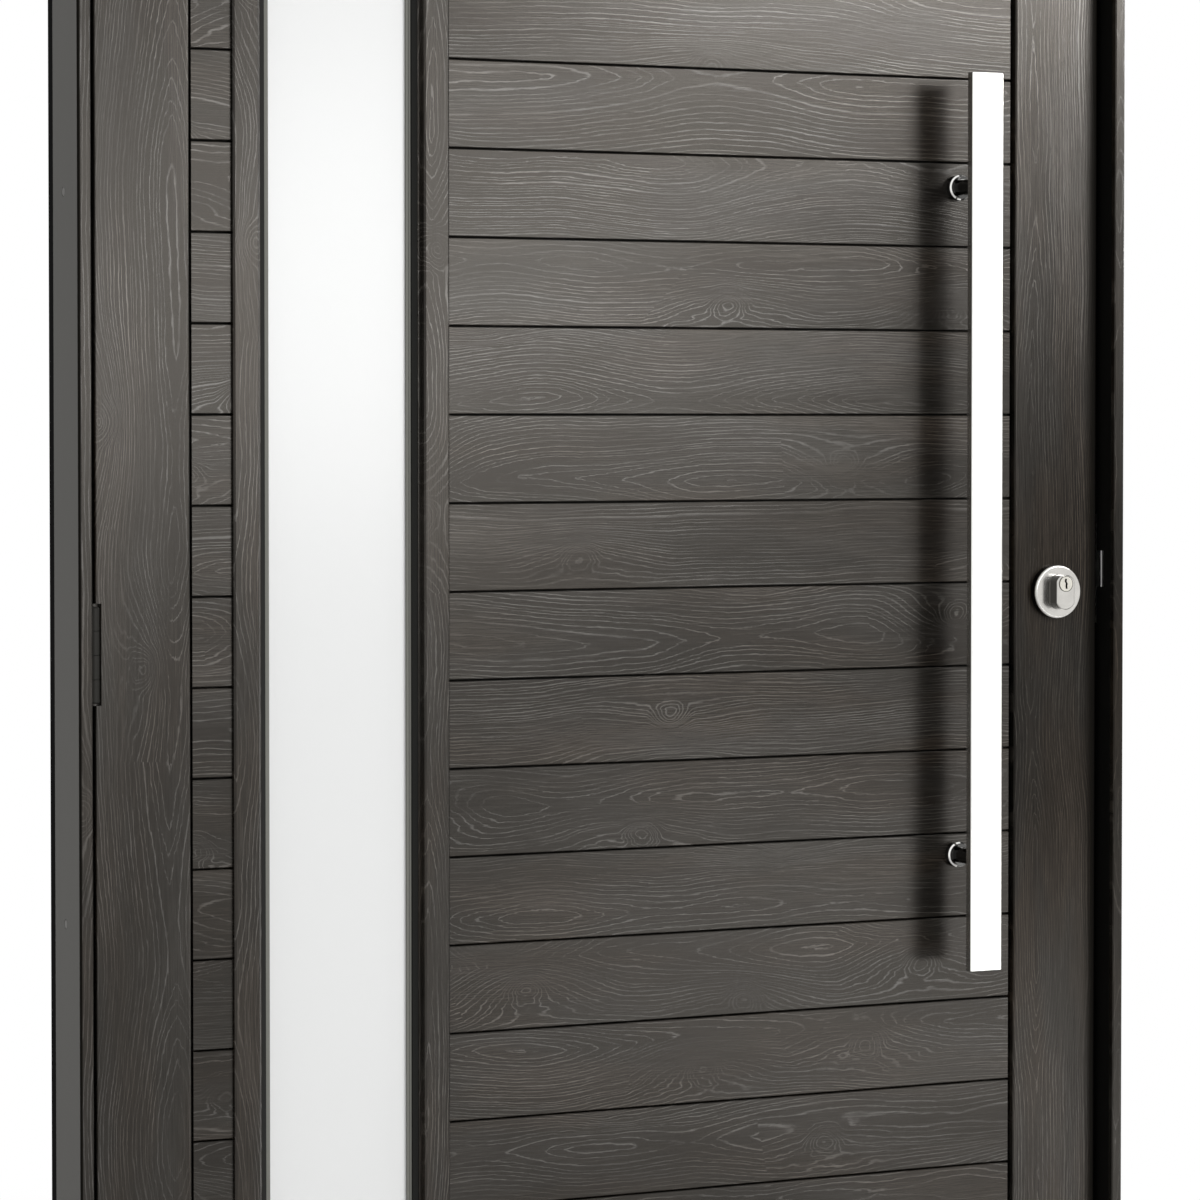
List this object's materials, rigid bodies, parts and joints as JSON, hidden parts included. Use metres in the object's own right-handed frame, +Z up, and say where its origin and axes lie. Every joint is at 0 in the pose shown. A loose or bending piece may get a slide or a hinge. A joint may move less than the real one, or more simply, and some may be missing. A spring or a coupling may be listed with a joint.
{
  "type": "timber-faced aluminium entrance door",
  "caption": "Outward-opening entrance door in its frame: level stained planks, a narrow glazed slot, a flat pull bar, a round lock plate and barrel hinges.",
  "frame": {"origin": "middle of the threshold's underside, half way through the aluminium frame's depth", "axes": "+X towards the lock jamb, +Y indoors, +Z up; the outside face looks along -Y"},
  "size_m": [1, 0.16, 2.1],
  "materials": {
    "stained_timber": "brushed and grey-brown stained, matt",
    "frame_aluminium": "powder coat, fine texture",
    "threshold_aluminium": "anodised, satin",
    "infill_board": "dark board, matt",
    "satin_glass": "pale satin glass",
    "spacer_metal": "plain grey",
    "grey_gasket": "moulded grey rubber",
    "black_seal": "black foam rubber",
    "satin_steel": "brushed along its length",
    "hinge_steel": "dark grey coat",
    "polished_nickel": "polished nickel",
    "plug_brass": "nickelled brass, turned"
  },
  "bodies": {
    "frame": {"hinge_jamb": "frame_aluminium", "lock_jamb": "frame_aluminium", "head": "frame_aluminium", "threshold": "threshold_aluminium", "hinge_jamb_facing": "stained_timber", "lock_jamb_facing": "stained_timber", "head_facing": "stained_timber", "wall_seal": "black_seal", "rebate_gasket": "black_seal", "strike_plate": "satin_steel", "frame_hinges": "hinge_steel"},
    "leaf": {"leaf_hinges": "hinge_steel", "leaf_hinge_profile": "frame_aluminium", "leaf_lock_profile": "frame_aluminium", "leaf_top_profile": "frame_aluminium", "leaf_bottom_profile": "frame_aluminium", "leaf_infill": "infill_board", "outer_hinge_stile": "stained_timber", "outer_lock_stile": "stained_timber", "outer_rails": "stained_timber", "outer_wide_planks": "stained_timber", "outer_narrow_planks": "stained_timber", "outer_trim_left": "stained_timber", "outer_trim_right": "stained_timber", "outer_trim_bottom": "stained_timber", "outer_trim_top": "stained_timber", "inner_stiles": "stained_timber", "inner_rails": "stained_timber", "inner_planks": "stained_timber", "inner_trim": "stained_timber", "glass_panes": "satin_glass", "glass_spacer": "spacer_metal", "glazing_seals": "black_seal", "glazing_gaskets": "grey_gasket", "pull_bar": "satin_steel", "pull_bar_posts": "satin_steel", "lock_rosette": "polished_nickel", "inner_rosettes": "polished_nickel", "lock_cylinder": "polished_nickel", "key_plug": "plug_brass", "thumb_turn": "polished_nickel", "lock_faceplate": "satin_steel", "lock_bolts": "satin_steel", "lever_handle": "polished_nickel"}
  },
  "joints": [
    {"name": "leaf_swing", "type": "hinge", "parent": "frame", "child": "leaf", "pos_m": [-0.4835, -0.023, 1.05], "axis": [0, 0, -1], "range_deg": [0, 95]}
  ]
}
